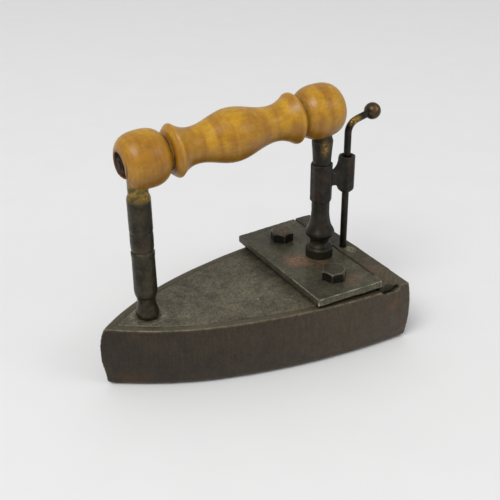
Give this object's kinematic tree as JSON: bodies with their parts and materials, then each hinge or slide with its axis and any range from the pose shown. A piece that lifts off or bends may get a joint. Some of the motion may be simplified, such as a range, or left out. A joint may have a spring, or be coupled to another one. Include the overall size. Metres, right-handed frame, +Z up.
{
  "type": "clothes iron",
  "caption": "Boat-shaped hollow box iron with an inner heated slug, bolted rear cover, two turned posts, turned wooden grip and a drop gate on a lifting rod.",
  "frame": {"origin": "on the sole's flat face, at the middle of the body's length, on the centre plane", "axes": "+X towards the gate at the rear, nose towards -X, +Y across the body, +Z up"},
  "size_m": [0.1919, 0.103, 0.1589],
  "materials": {
    "wall_iron": "dark brown patina over cast iron, edges worn lighter",
    "sole_iron": "smoothed sole, scratched",
    "slug_iron": "fire scale",
    "deck_iron": "grey-olive patina with rust specks",
    "packing_iron": "black scale",
    "cover_iron": "grey-olive patina, bright worn edges",
    "bolt_steel": "dark oxide, worn corners",
    "post_brass": "dark patina, brass showing where it is rubbed",
    "guide_brass": "dark patina",
    "core_steel": "dull",
    "grip_wood": "turned boxwood-coloured wood, worn semi-gloss varnish",
    "gate_iron": "reddish brown patina",
    "rod_brass": "dark patina, brass showing on the bend and knob"
  },
  "bodies": {
    "iron": {"side_wall": "wall_iron", "sole_plate": "sole_iron", "slug_rests": "sole_iron", "deck_plate": "deck_iron", "cover_packing": "packing_iron", "rear_cover_plate": "cover_iron", "cover_bolts": "bolt_steel", "cover_nuts": "bolt_steel", "front_post": "post_brass", "front_post_nut": "bolt_steel", "rear_post": "post_brass", "rear_post_nut": "bolt_steel", "guide_bracket": "guide_brass", "grip_rod": "core_steel", "grip_rod_nuts": "core_steel", "wooden_grip": "grip_wood"},
    "slug": {"heating_slug": "slug_iron"},
    "gate": {"gate": "gate_iron", "lifting_rod": "rod_brass", "rod_knob": "rod_brass"}
  },
  "joints": [
    {"name": "gate_lift", "type": "slide", "parent": "iron", "child": "gate", "axis": [0, 0, 1], "range_m": [0, 0.036]},
    {"name": "slug_play", "type": "slide", "parent": "iron", "child": "slug", "axis": [1, 0, 0], "range_m": [0, 0.003]}
  ]
}
